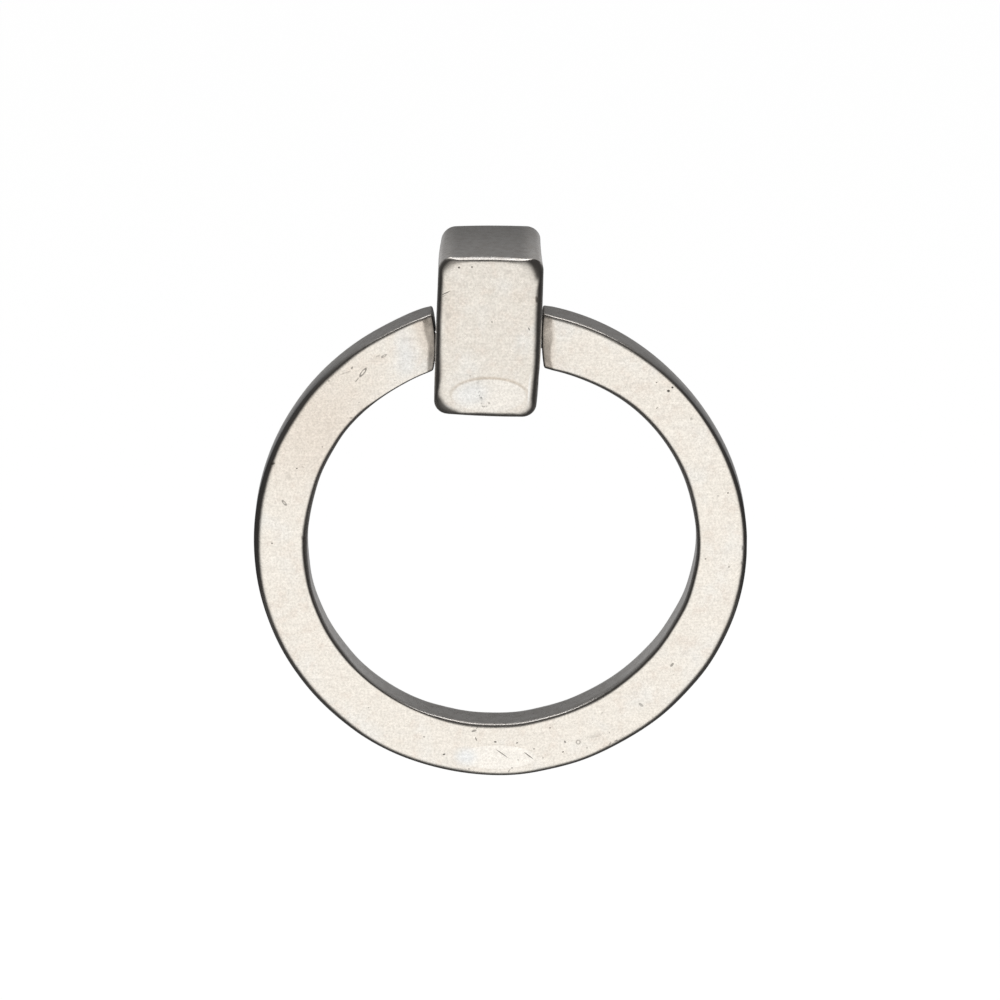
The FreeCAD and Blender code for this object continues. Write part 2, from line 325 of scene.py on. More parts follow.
BLOCK_MARKS = [
    Mark(459, 267.5, 0.17, 0.15, 0, 0.7, 0.0),
    Mark(472, 267, 0.14, 0.12, 0, 0.6, 0.0),
    Mark(492, 322, 0.13, 0.10, 70, 0.5, 0.0),
    Mark(529, 329, 0.24, 0.08, 70, 0.6, 0.0),
    Mark(446, 293, 0.75, 0.07, -28, 0.55, 0.0),
    Mark(444, 296, 0.45, 0.05, -34, 0.35, 0.0),
    Mark(448, 316, 0.60, 0.35, 60, 0.12, 0.0),
    Mark(446, 300, 0.50, 0.50, 0, 0.10, 0.0),
    Mark(537, 300, 0.55, 0.22, 80, 0.45, 0.03),
    Mark(521, 300, 0.50, 0.35, 30, 0.08, 0.0),
    Mark(489, 403, 0.12, 0.10, 0, 0.45, 0.0),
    Mark(470, 376, 0.12, 0.09, 0, 0.30, 0.0),
]
RING_MARKS = [
    Mark(363, 372.5, 0.95, 0.27, -53, 0.55, 0.05, 1.0),
    Mark(357, 380, 0.50, 0.06, -53, 0.45, 0.0),
    Mark(384, 356, 0.50, 0.17, -28, 0.50, 0.0, 0.8),
    Mark(378, 356, 0.40, 0.14, -24, 0.18, 0.0),
    Mark(352, 368, 0.26, 0.14, -60, 0.40, 0.0),
    Mark(345, 373, 0.90, 0.10, -20, 0.20, 0.0),
    Mark(296.8, 468.5, 0.14, 0.10, 0, 0.55, 0.0),
    Mark(303, 467, 0.30, 0.07, 15, 0.20, 0.0),
    Mark(284.2, 503, 0.58, 0.22, 50, 0.50, 0.05, 0.7),
    Mark(322.5, 447, 0.12, 0.10, 0, 0.30, 0.0),
    Mark(272, 543.4, 0.14, 0.12, 0, 0.50, 0.0),
    Mark(308, 581, 0.25, 0.12, 70, 0.40, 0.0),
    Mark(272.6, 464, 0.40, 0.18, -20, 0.50, 0.06),
    Mark(303, 538, 0.35, 0.25, 80, 0.25, 0.08),
    Mark(329, 381, 0.18, 0.12, 0, 0.30, 0.0),
    Mark(351, 418, 0.28, 0.16, 0, 0.25, 0.04),
    Mark(288, 476, 0.80, 0.45, 60, 0.07, 0.0),
    Mark(668.5, 391, 0.24, 0.20, 0, 0.80, 0.04),
    Mark(672.5, 387.5, 0.18, 0.15, 0, 0.70, 0.04),
    Mark(656.5, 382.5, 0.12, 0.10, 0, 0.45, 0.0),
    Mark(657, 408, 0.22, 0.07, -50, 0.40, 0.0),
    Mark(691.5, 419, 0.24, 0.22, 0, 0.22, 0.0),
    Mark(728, 493, 0.13, 0.11, 0, 0.60, 0.0),
    Mark(718, 496, 0.16, 0.12, 0, 0.25, 0.0),
    Mark(705.5, 559, 0.14, 0.12, 0, 0.45, 0.0),
    Mark(729, 567, 0.14, 0.11, 0, 0.45, 0.0),
    Mark(743, 548, 0.35, 0.20, 85, 0.25, 0.07),
    Mark(742, 563, 0.30, 0.18, 85, 0.25, 0.07),
    Mark(641, 705, 0.45, 0.22, 40, 0.30, 0.04),
    Mark(672, 665, 0.40, 0.20, -50, 0.40, 0.05),
    Mark(616, 741, 0.30, 0.16, -25, 0.35, 0.04),
    Mark(474, 731, 0.42, 0.18, -15, 0.40, 0.03),
    Mark(477, 728, 0.30, 0.07, -50, 0.35, 0.0),
    Mark(476, 739, 0.32, 0.08, 75, 0.60, 0.0),
    Mark(495.3, 742, 0.22, 0.12, 10, 0.75, 0.0),
    Mark(517, 743, 0.14, 0.10, -40, 0.60, 0.0),
    Mark(550, 728, 0.13, 0.10, -30, 0.55, 0.0),
    Mark(534, 749, 0.13, 0.12, 0, 0.50, 0.0),
    Mark(565, 742, 0.24, 0.14, 50, 0.45, 0.0),
    Mark(563, 752, 0.16, 0.10, -20, 0.60, 0.0),
    Mark(578.2, 742.3, 0.40, 0.40, 0, 0.38, 0.04, 1.0),
    Mark(587, 748, 0.10, 0.08, 0, 0.50, 0.0),
    Mark(595, 736, 1.30, 0.30, -12, 0.10, 0.0),
    Mark(602, 713, 0.12, 0.10, -30, 0.35, 0.0),
    Mark(424, 737, 0.13, 0.10, 70, 0.50, 0.0),
    Mark(444, 754.5, 0.24, 0.12, -20, 0.60, 0.0),
    Mark(502, 753.7, 1.15, 0.08, 37, 0.50, 0.0),
    Mark(528.7, 755.7, 0.93, 0.08, 38, 0.55, 0.0),
    Mark(518, 760, 0.10, 0.09, 0, 0.45, 0.0),
    Mark(512, 768, 0.12, 0.10, 0, 0.50, 0.0),
    Mark(543, 758, 0.10, 0.08, 0, 0.45, 0.0),
    Mark(469, 769, 0.13, 0.10, 0, 0.45, 0.0),
    Mark(509, 771, 0.40, 0.07, -60, 0.35, 0.0),
    Mark(610, 744, 0.35, 0.14, -60, 0.30, 0.08),
    Mark(462, 769, 0.80, 0.10, 8, 0.16, 0.0),
]

# Ovals of another shade: place and half sizes as for a mark, how soft the edge is, and how
# strongly it takes its colour
Tint = namedtuple("Tint", "px py long wide angle soft strength colour")
BLUISH = (0.84, 0.86, 0.865, 1)
SANDED_BLOCK = (0.915, 0.87, 0.80, 1)
SANDED_RING = (0.975, 0.925, 0.85, 1)
SALLOW = (0.83, 0.745, 0.65, 1)
OUTLINE = (0.60, 0.52, 0.43, 1)
# A painted highlight: a pale colour standing in for a glint of light
PAINTED_GLINT = (0.98, 0.96, 0.92, 1)
BLOCK_TINTS = [
    Tint(488.7, 394.4, 6.00, 2.86, 0, 0.10, 0.80, OUTLINE),
    Tint(489.2, 395.9, 5.80, 2.66, 0, 0.08, 0.95, SANDED_BLOCK),
    Tint(471, 394, 2.8, 2.0, -15, 0.7, 0.50, BLUISH),
    Tint(450, 316, 1.2, 6.0, 0, 0.9, 0.55, SALLOW),
    Tint(517, 297, 1.5, 1.1, 20, 0.9, 0.45, SALLOW),
    # The next two are painted highlights
    Tint(529.3, 390, 0.22, 2.6, 4, 0.8, 0.9, PAINTED_GLINT),
    Tint(447, 407, 0.9, 0.16, 30, 0.8, 0.8, PAINTED_GLINT),
]
RING_TINTS = [
    Tint(497, 757, 6.35, 2.10, 0, 0.06, 0.30, OUTLINE),
    Tint(497, 757.3, 6.25, 2.02, 0, 0.08, 1.0, SANDED_RING),
    Tint(466, 757, 1.9, 1.6, 0, 0.8, 0.70, BLUISH),
    Tint(318, 425, 12.0, 9.0, -56, 0.9, 0.85, SALLOW),
    Tint(405, 352, 1.8, 4.2, -8, 0.9, 0.50, BLUISH),
    Tint(426, 335, 1.5, 4.2, -8, 0.7, 0.85, SALLOW),
    Tint(418.5, 322, 1.2, 1.4, 20, 0.8, 0.90, SALLOW),
    Tint(549, 342, 1.2, 5.5, 0, 0.5, 0.75, SALLOW),
]


# Corners of the block's face with a dark painted shade: each is dark beyond a quarter of an
# oval, on the side of its middle that right and up tell
Corner = namedtuple("Corner", "px py long wide angle right up")
BLOCK_SHADED_CORNERS = [
    Corner(462.5, 393.5, 3.50, 2.90, 0, -1, -1),
    Corner(517, 284, 2.80, 3.90, 0, 1, 1),
]


def face_place(spot, face_y):
    """Where a mark or a tint lies on the face at depth face_y."""
    return photo_point(spot.px, spot.py, face_y)


def dents(points, marks, face_y):
    """How deep the marks press into the face at depth face_y, at each point."""
    deep = np.zeros(len(points))
    for mark in marks:
        if mark.depth == 0:
            continue
        centre = face_place(mark, face_y)
        angle = math.radians(mark.angle)
        dx, dz = points[:, 0] - centre[0], points[:, 2] - centre[2]
        along = (dx * math.cos(angle) - dz * math.sin(angle)) / mark.long
        aside = (dx * math.sin(angle) + dz * math.cos(angle)) / mark.wide
        deep = np.maximum(deep, mark.depth * np.exp(-along ** 2 - aside ** 2))
    return deep


# Mounting block

BLOCK_STATIONS = 44
BLOCK_RIM_CELLS = 8


def block_section(walk, share):
    left, right = BLOCK_CORNER_BACK["left"], BLOCK_CORNER_BACK["right"]
    back = corner_radii(walk, left, right, right, left)
    corner = back + (BLOCK_CORNER_FRONT - back) * share
    return BLOCK_HALF[0] - SKIN, BLOCK_HALF[2] - SKIN, corner, BLOCK_CROWN


def cast_out_of_true(x, z, share):
    """The block as it was cast: drafted towards the back, fuller beside the pin, longer at
    the foot, and twisted more and more towards the front."""
    top = smooth_step(-4.0, 6.0, z)
    foot = smooth_step(4.0, -12.0, z)
    ankle = smooth_step(-5.0, -12.0, z)
    beside_pin = smooth_step(4.0, -2.0, z) * share ** 2
    for side, sign in (("left", -1), ("right", 1)):
        reach = np.clip(sign * x / BLOCK_HALF[0], 0, 1)
        narrower = BLOCK_SIDE_DRAFT[side] * (1 - share) * top
        fuller = BLOCK_SIDE_SWELL[side] * beside_pin + BLOCK_FOOT_SWELL[side] * ankle
        fuller = fuller + BLOCK_FRONT_SWELL[side] * top * share
        x = x + sign * reach * (fuller - narrower)
    z = z - BLOCK_TOP_DRAFT * (1 - share) * smooth_step(4.0, 10.0, z) - BLOCK_FOOT * foot
    turn = BLOCK_TWIST * share ** np.where(x < 0, 3, 2)
    above = z - BLOCK_TWIST_Z
    falling = x * (1 - top) + np.maximum(x, 0) * top
    return x * np.cos(turn) + above * np.sin(turn), z - falling * np.sin(turn)


def place_in_block(a, b, share, gaps):
    """The back is at share 0 and the front face at share 1."""
    depth = gaps[:, 0] + share * (BLOCK_DEPTH - gaps.sum(axis=1))
    x, z = cast_out_of_true(BLOCK_MIDDLE[0] + a, BLOCK_MIDDLE[2] + b, depth / BLOCK_DEPTH)
    return np.stack([x, -depth, z], -1)


def finish_block_face(points):
    """Waves left by hand finishing, and dents, all on the inside of the front face."""
    face = smooth_step(0.8, 0.0, points[:, 1] - BLOCK_LOW[1])
    waves = 0.02 + 0.012 * wobble(points, 9.0, 3) + 0.004 * wobble(points, 2.5, 4)
    points[:, 1] += face * (waves + dents(points, BLOCK_MARKS, BLOCK_LOW[1]))
    return points


def keep_in(points, low, high):
    return np.clip(points, low, high)


def make_block():
    walk = walk_round(90, 146, 12)
    share, first, last = stations_along(BLOCK_STATIONS, BLOCK_RIM_CELLS)
    corner_place = np.stack([walk.side[:, 0] * BLOCK_HALF[0], walk.turn[:, 0],
                             walk.side[:, 1] * BLOCK_HALF[2]], -1)
    upward, rightward = np.clip(walk.turn[:, 1], 0, 1), np.clip(walk.turn[:, 0], 0, 1)
    low_left = smooth_step(0.3, -0.8, walk.side[:, 1]) * (1 - rightward)
    front_rim = (BLOCK_FRONT_RIM + (BLOCK_TOP_RIM - BLOCK_FRONT_RIM) * upward ** 2
                 + (BLOCK_RIGHT_RIM - BLOCK_FRONT_RIM) * rightward ** 2
                 + (BLOCK_FOOT_RIM - BLOCK_FRONT_RIM) * low_left * np.abs(walk.turn[:, 0]))
    front_rim = front_rim * (1 + 0.06 * wobble(corner_place, 14.0, 5))
    rim_depth = BLOCK_RIM_DEPTH + (BLOCK_TOP_RIM_DEPTH - BLOCK_RIM_DEPTH) * upward ** 2
    points = sweep(walk, share, first, last, (BLOCK_BACK_RIM, front_rim), block_section,
                   place_in_block, corner_radii(walk, *BLOCK_CORNER_GROWTH), rim_depth,
                   upward ** 2)
    points = finish_block_face(points)
    points = keep_in(points, CAD_LOW, CAD_HIGH)
    block = mesh_object("cast_block", points, bar_faces(walk, len(share)))
    cut(block, pin_cutter("pin_bore", PIN_RADIUS, PIN_SEAT_REACH))
    cut(block, thread_cutter())
    smooth(block)
    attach(block, "block")
    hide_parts("mounting_block")
    return block


# Ring, swept clockwise from its right end to its left end

RING_STATIONS = 780
RING_RIM_CELLS = 3
RING_START = math.radians(12)
RING_TRAVEL = math.radians(332)
# The cast outline, as it strays from true. For each clock angle in degrees: how far the
# outer and the inner edge lie outwards, then their front rims' radii, in mm
RING_FORM = [
    (10, -0.38, -0.40, 0.60, 0.60), (22, -0.41, -0.36, 0.70, 0.90),
    (30, -0.53, -0.16, 0.80, 1.10), (38, -0.60, 0.00, 0.70, 1.30),
    (46, -0.70, 0.09, 0.45, 1.15), (54, -0.66, 0.14, 0.48, 1.15),
    (62, -0.56, 0.12, 0.65, 1.25), (70, -0.35, 0.09, 0.83, 1.20),
    (78, -0.10, 0.00, 0.95, 1.15), (90, 0.05, 0.18, 1.05, 1.00),
    (105, 0.14, -0.05, 1.15, 0.90), (120, 0.08, -0.37, 1.45, 0.87),
    (135, -0.13, -0.53, 1.40, 0.87), (150, -0.32, -0.53, 1.00, 0.87),
    (165, -0.18, -0.37, 0.90, 0.80), (180, 0.05, -0.10, 0.80, 0.95),
    (195, 0.10, 0.06, 0.95, 0.90), (210, 0.19, 0.28, 1.00, 0.50),
    (225, 0.15, 0.26, 1.35, 0.50), (240, 0.08, 0.05, 1.40, 0.85),
    (255, 0.00, -0.10, 1.30, 0.85), (270, -0.04, -0.40, 1.45, 1.30),
    (285, -0.04, -0.54, 1.40, 1.25), (300, -0.03, -0.30, 1.10, 1.15),
    (315, 0.06, 0.02, 0.88, 1.05), (330, 0.10, 0.16, 0.63, 0.45),
    (345, 0.40, 0.32, 0.55, 0.40),
]
RING_FORM_BLUR = 8.0


def clock(share):
    return RING_START + share * RING_TRAVEL


def opening_radius(angle):
    wide, tall = RING_OPENING_HALF_WIDE, RING_OPENING_HALF_TALL
    return wide * tall / np.hypot(tall * np.sin(angle), wide * np.cos(angle))


def stray(angle, column):
    """A column of RING_FORM, blended smoothly between its angles."""
    table = np.array(RING_FORM)
    away = np.degrees(angle)[..., None] - table[:, 0]
    away = (away + 180) % 360 - 180
    weight = np.exp(-(away / RING_FORM_BLUR) ** 2)
    return (weight * table[:, column]).sum(axis=-1) / weight.sum(axis=-1)


def outer_radius(angle):
    return RING_RADIUS - SKIN + stray(angle, 1)


def inner_radius(angle):
    return opening_radius(angle) + stray(angle, 2)


def ring_line(angle):
    return np.stack([RING_RADIUS * np.sin(angle), angle * 0, RING_RADIUS * np.cos(angle)], -1)


def ring_section(walk, share):
    angle = clock(share)
    half = (outer_radius(angle) - inner_radius(angle)) / 2
    uneven = 1 + 0.08 * wobble(ring_line(angle), 12.0, 12)
    outer_front, inner_front = stray(angle, 3) * uneven, stray(angle, 4) * uneven
    corners = corner_radii(walk, inner_front, outer_front, RING_BACK_RIM, RING_BACK_RIM)
    return half, RING_HALF_THICK - SKIN - RING_BACK_INSET / 2, corners, 0.0


def end_surface(side, z):
    """How far from the middle of the block the domed end on that side lies, at height z."""
    return RING_END_REACH[side] + (z - RING_END_PEAK[side]) ** 2 / (2 * RING_END_DOME[side])


def end_angle(radius, side):
    """Clock angle at which a circle of this radius meets the domed end on that side."""
    sign = 1 if side == "right" else -1
    z = RING_Z + radius
    for _ in range(5):
        sine = (sign * end_surface(side, z) - RING_X) / radius
        z = RING_Z + radius * np.sqrt(1 - sine ** 2)
    return np.arcsin(sine)


def place_in_ring(a, b, share, gaps):
    """a runs outwards from the middle of the ring's width, and b towards the drawer."""
    near = clock(share)
    radius = (outer_radius(near) + inner_radius(near)) / 2 + a
    start = end_angle(radius, "right") + gaps[:, 0] / radius
    stop = math.tau + end_angle(radius, "left") - gaps[:, 1] / radius
    angle = start + share * (stop - start)
    x = RING_X + radius * np.sin(angle)
    z = RING_Z + radius * np.cos(angle)
    return np.stack([x, PIN_AXIS[1] - RING_BACK_INSET / 2 + b, z], -1)


def file_ends(points):
    """Shallow facets with ragged borders, filed on the front and the back of both ends."""
    top = points[:, 2] > RING_Z + RING_OPENING_HALF_TALL / 2
    behind = points[:, 1] - PIN_AXIS[1]
    above_pin = points[:, 2] - PIN_AXIS[2]
    for side, (width, depth, taper) in RING_END_FACETS.items():
        distance = np.abs(points[:, 0]) - end_surface(side, points[:, 2])
        on_side = top & ((points[:, 0] < 0) == (side == "left"))
        ragged = width * (1 + 0.14 * wobble(points, 3.0, 21) + 0.04 * wobble(points, 1.4, 22)
                          + taper * above_pin)
        filed = depth / width * np.clip(ragged - distance, 0, None) * on_side
        behind = behind * (1 - filed / RING_HALF_THICK)
    points[:, 1] = PIN_AXIS[1] + behind
    return points


def finish_ring_face(points):
    face = smooth_step(0.7, 0.0, points[:, 1] - RING_LOW[1])
    back = smooth_step(0.7, 0.0, RING_HIGH[1] - points[:, 1])
    waves = 0.02 + 0.012 * wobble(points, 9.0, 23) + 0.004 * wobble(points, 2.5, 24)
    points[:, 1] += face * (waves + dents(points, RING_MARKS, RING_LOW[1]))
    points[:, 1] -= back * waves
    return points


def make_ring():
    walk = walk_round(36, 8, 6)
    share, first, last = stations_along(RING_STATIONS, RING_RIM_CELLS)
    points = sweep(walk, share, first, last, (RING_END_RIM, RING_END_RIM),
                   ring_section, place_in_ring)
    points = file_ends(finish_ring_face(points))
    points = keep_in(points, CAD_LOW, CAD_HIGH)
    ring = mesh_object("cast_ring", points, bar_faces(walk, len(share)))
    cut(ring, pin_cutter("pin_seat", PIN_SEAT_RADIUS, PIN_SEAT_REACH))
    smooth(ring)
    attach(ring, "ring")
    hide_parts("ring")
    return ring


MARKS_PER_SECTOR = 12
SECTOR_OVERLAP = math.radians(3)


def clock_of(x, z):
    """Angle from the top of the ring, clockwise, from 0 to a full turn."""
    return math.atan2(x - RING_X, z - RING_Z) % math.tau


def ring_sectors():
    """Sectors of the ring, each with the marks in or near it, because one material can't
    hold them all. Gives the angle at which each sector ends, and its marks."""
    placed = []
    for mark in RING_MARKS:
        centre = photo_point(mark.px, mark.py, RING_LOW[1])
        placed.append((clock_of(centre[0], centre[2]), mark))
    placed.sort(key=lambda pair: pair[0])
    starts = [placed[i][0] for i in range(0, len(placed), MARKS_PER_SECTOR)]
    borders = [0.0] + starts[1:] + [math.tau]
    sectors = []
    for start, stop in zip(borders, borders[1:]):
        marks = [mark for angle, mark in placed
                 if start - SECTOR_OVERLAP < angle < stop + SECTOR_OVERLAP]
        sectors.append((stop, marks))
    return sectors


def paint_ring(ring):
    sectors = ring_sectors()
    ring.data.materials.clear()
    for number, (_, marks) in enumerate(sectors, start=1):
        finish = bronze_finish(f"ring_bronze_{number}", RING_BRONZE, marks, RING_TINTS,
                               RING_LOW[1], ring_painted_light)
        ring.data.materials.append(finish)
    stops = [stop for stop, _ in sectors]
    for face in ring.data.polygons:
        angle = clock_of(face.center.x / MM, face.center.z / MM)
        face.material_index = min(bisect.bisect(stops, angle), len(stops) - 1)


# Holes

CUTTER_SIDES = 64
MOUTH = 0.35
THREAD_START = 0.5
DRILL_POINT_HALF_ANGLE = math.radians(59)


def tube_of(name, along, radii, axis):
    """A closed turned solid. radii holds one row for each place along, one value a side, and
    axis puts along, then the two directions across it, into x, y, z."""
    count = radii.shape[1]
    angle = np.arange(count) * math.tau / count
    rows = np.stack([np.broadcast_to(along[:, None], radii.shape),
                     radii * np.cos(angle), radii * np.sin(angle)], -1)
    middle = np.zeros((2, 3))
    middle[:, 0] = along[[0, -1]]
    points = np.concatenate([rows.reshape(-1, 3), middle])
    i, j = np.meshgrid(np.arange(len(along) - 1), np.arange(count), indexing="ij")
    here, ahead = i * count + j, i * count + (j + 1) % count
    quads = np.stack([here, ahead, ahead + count, here + count], -1).reshape(-1, 4).tolist()
    last = (len(along) - 1) * count
    for j in range(count):
        ahead = (j + 1) % count
        quads.append([len(points) - 2, ahead, j])
        quads.append([len(points) - 1, last + j, last + ahead])
    mesh = bpy.data.meshes.new(name)
    mesh.from_pydata((axis(points) * MM).tolist(), [], quads)
    turn_outwards(mesh)
    cutter = bpy.data.objects.new(name, mesh)
    bpy.context.scene.collection.objects.link(cutter)
    return cutter


def pin_cutter(name, radius, reach):
    along = np.array([-reach, reach])
    radii = np.full((2, CUTTER_SIDES), radius)
    return tube_of(name, along, radii, lambda p: p + PIN_AXIS)


def thread_cutter():
    """The tapped hole: a chamfered mouth, a vee thread, and the drill's point."""
    minor = SCREW_HOLE["r_mm"]
    length = SCREW_HOLE["length_mm"]
    steps = np.arange(THREAD_START, length - THREAD_START, THREAD_PITCH / 8)
    turns = np.arange(CUTTER_SIDES) / CUTTER_SIDES
    phase = (steps[:, None] / THREAD_PITCH - turns) % 1
    vee = np.abs(2 * phase - 1)
    threads = minor + (THREAD_MAJOR_RADIUS - minor) * np.clip(1.3 * vee - 0.15, 0, 1)
    point = (minor - 0.05) / math.tan(DRILL_POINT_HALF_ANGLE)
    along = np.concatenate([[-1.0, 0.0, MOUTH], steps, [length, length + point]])
    mouth = THREAD_MAJOR_RADIUS + 0.15
    plain = np.ones((1, CUTTER_SIDES))
    radii = np.concatenate([plain * mouth, plain * mouth, plain * minor, threads,
                            plain * minor, plain * 0.05])
    return tube_of("screw_thread", along, radii,
                   lambda p: np.stack([p[:, 1], -p[:, 0], p[:, 2]], -1))


def cut(piece, cutter):
    modifier = piece.modifiers.new("cut", "BOOLEAN")
    modifier.operation = "DIFFERENCE"
    modifier.solver = "EXACT"
    modifier.object = cutter
    bpy.context.view_layer.update()
    graph = bpy.context.evaluated_depsgraph_get()
    made = bpy.data.meshes.new_from_object(piece.evaluated_get(graph))
    piece.modifiers.clear()
    piece.data = made
    bpy.data.objects.remove(cutter)


def smooth(piece):
    piece.data.shade_smooth()
    piece.data.set_sharp_from_angle(angle=math.radians(38))


# Finishes

class Finish:
    """A node material, with short calls for the nodes that it is made of."""

    def __init__(self, name):
        self.material = bpy.data.materials.new(name)
        self.material.use_nodes = True
        self.tree = self.material.node_tree
        self.shader = self.tree.nodes["Principled BSDF"]
        self.coordinates = self.tree.nodes.new("ShaderNodeTexCoord")
        self.place = self.coordinates.outputs["Object"]

    def put(self, socket, value):
        if isinstance(value, bpy.types.NodeSocket):
            self.tree.links.new(value, socket)
        else:
            socket.default_value = value

    def add(self, kind, inputs, output=0, **settings):
        node = self.tree.nodes.new(kind)
        for name, value in settings.items():
            setattr(node, name, value)
        for key, value in inputs.items():
            self.put(node.inputs[key], value)
        return node.outputs[output]

    def math(self, operation, a, b=0.0):
        return self.add("ShaderNodeMath", {0: a, 1: b}, operation=operation)

    def ramp(self, value, low, high, to_low=0.0, to_high=1.0):
        inputs = {"Value": value, "From Min": low, "From Max": high,
                  "To Min": to_low, "To Max": to_high}
        return self.add("ShaderNodeMapRange", inputs, interpolation_type="SMOOTHSTEP")

    def axes(self, vector):
        node = self.tree.nodes.new("ShaderNodeSeparateXYZ")
        self.put(node.inputs[0], vector)
        return node.outputs

    def noise(self, size, detail=2.0, roughness=0.5, shift=(0.0, 0.0, 0.0)):
        """Noise of about this size in mm."""
        place = self.add("ShaderNodeVectorMath", {0: self.place, 1: shift}, operation="ADD")
        inputs = {"Vector": place, "Scale": 1 / (size * MM), "Detail": detail,
                  "Roughness": roughness}
        return self.add("ShaderNodeTexNoise", inputs)

    def mix(self, amount, a, b, blend="MIX"):
        return self.add("ShaderNodeMix", {0: amount, 6: a, 7: b}, output=2,
                        data_type="RGBA", blend_type=blend)

    def from_middle(self, spot, face_y):
        """Distance from the middle of a mark's or tint's oval, 1 on its outline."""
        inputs = {"Vector": self.place, "Location": face_place(spot, face_y) * MM,
                  "Rotation": (0.0, math.radians(spot.angle), 0.0),
                  "Scale": (spot.long * MM, 1.2 * MM, spot.wide * MM)}
        local = self.add("ShaderNodeMapping", inputs, vector_type="TEXTURE")
        return self.add("ShaderNodeVectorMath", {0: local}, output="Value",
                        operation="LENGTH")


BLOCK_BRONZE = (0.85, 0.795, 0.715, 1)
RING_BRONZE = (0.91, 0.852, 0.768, 1)
COOL_BRONZE = (0.89, 0.89, 0.865, 1)
WARM_BRONZE = (0.78, 0.67, 0.58, 1)
# Painted shade: a darker colour for the sides, standing in for the grey reflections they show
SIDE_SHADE_BRONZE = (0.44, 0.425, 0.41, 1)
# Painted shade: a dark colour for the rims, standing in for the dark reflections they show
RIM_SHADE_BRONZE = (0.135, 0.125, 0.115, 1)
PIT_BROWN = (0.07, 0.06, 0.05, 1)
# Painted shade for two corners of the block's face
CORNER_SHADE = (0.042, 0.038, 0.034, 1)
BRONZE_METALLIC = 0.88


def facing(finish):
    """How far a surface is a flat face, pale, and how far a rim, which gets a dark painted shade."""
    _, toward, _ = finish.axes(finish.coordinates.outputs["Normal"])
    flat = finish.math("ABSOLUTE", toward)
    ragged = finish.math("MULTIPLY", finish.math("SUBTRACT", finish.noise(1.6), 0.5), 0.04)
    face = finish.ramp(finish.math("ADD", flat, ragged), 0.84, 0.988)
    return face, finish.ramp(flat, 0.30, 0.80)


def all_marks(finish, marks, face_y):
    worst = finish.math("ADD", 0.0, 0.0)
    for mark in marks:
        away = finish.from_middle(mark, face_y)
        dark = min(0.95, 1.5 * mark.dark)
        spot = finish.ramp(away, 1.2, 0.7, 0.0, dark)
        if mark.hollow:
            inside = finish.ramp(away, 0.75, 0.35, 0.0, dark * mark.hollow)
            spot = finish.math("SUBTRACT", spot, inside)
        worst = finish.math("MAXIMUM", worst, spot)
    return worst


def streaks(finish):
    """Fine parallel lines left by sanding."""
    turned = finish.add("ShaderNodeMapping", {"Vector": finish.place, "Scale": (0.07, 1, 1),
                                              "Rotation": (0.0, math.radians(38), 0.0)})
    return finish.add("ShaderNodeTexNoise", {"Vector": turned, "Scale": 1 / (0.35 * MM),
                                             "Detail": 3.0})


def scattered_pits(finish):
    """Small casting pits all over: in a few cells of a Voronoi pattern, a small dark spot."""
    inputs = {"Vector": finish.place, "Scale": 1 / (1.1 * MM)}
    cells = finish.tree.nodes.new("ShaderNodeTexVoronoi")
    for key, value in inputs.items():
        finish.put(cells.inputs[key], value)
    chance = finish.add("ShaderNodeSeparateColor", {0: cells.outputs["Color"]})
    size = finish.ramp(chance, 0.86, 1.0, 0.0, 0.13)
    inside = finish.math("SUBTRACT", size, cells.outputs["Distance"])
    return finish.ramp(inside, 0.0, 0.05, 0.0, 0.5)


def face_colour(finish, pale, tints, face_y):
    """The faces: pale, blotched warm and cool, finely grained and streaked, with oval tints, some of which are
    painted highlights.
    """
    cool = finish.ramp(finish.noise(6.0, 3.0, shift=(0.3, 0.0, 0.0)), 0.48, 0.72, 0.0, 0.35)
    warm = finish.ramp(finish.noise(1.6, 4.0, shift=(0.0, 0.7, 0.0)), 0.48, 0.74, 0.0, 0.34)
    colour = finish.mix(cool, pale, COOL_BRONZE)
    colour = finish.mix(warm, colour, WARM_BRONZE)
    for tint in tints:
        away = finish.from_middle(tint, face_y)
        inside = finish.ramp(away, 1.0 + tint.soft / 2, 1.0 - tint.soft, 0.0, tint.strength)
        colour = finish.mix(inside, colour, tint.colour)
    grain = finish.ramp(finish.noise(0.32, 3.0, 0.6), 0.25, 0.75, 0.83, 1.09)
    lines = finish.ramp(streaks(finish), 0.3, 0.7, 0.965, 1.02)
    return finish.mix(1.0, colour, finish.math("MULTIPLY", grain, lines), "MULTIPLY")


def block_painted_light(finish):
    """Painted light and shade on the block's sides: brighter towards the front and at the top's edges."""
    x, y, _ = finish.axes(finish.place)
    _, _, upward = finish.axes(finish.coordinates.outputs["Normal"])
    front = finish.ramp(y, -BLOCK_DEPTH * MM, 0.0, 1.14, 0.80)
    edge = finish.ramp(finish.math("ABSOLUTE", x), 4.5 * MM, 7.8 * MM, 0.0, 0.75)
    edge = finish.math("MULTIPLY", edge, finish.ramp(upward, 0.1, 0.5))
    return finish.math("MULTIPLY", front, finish.math("ADD", edge, 1.0))


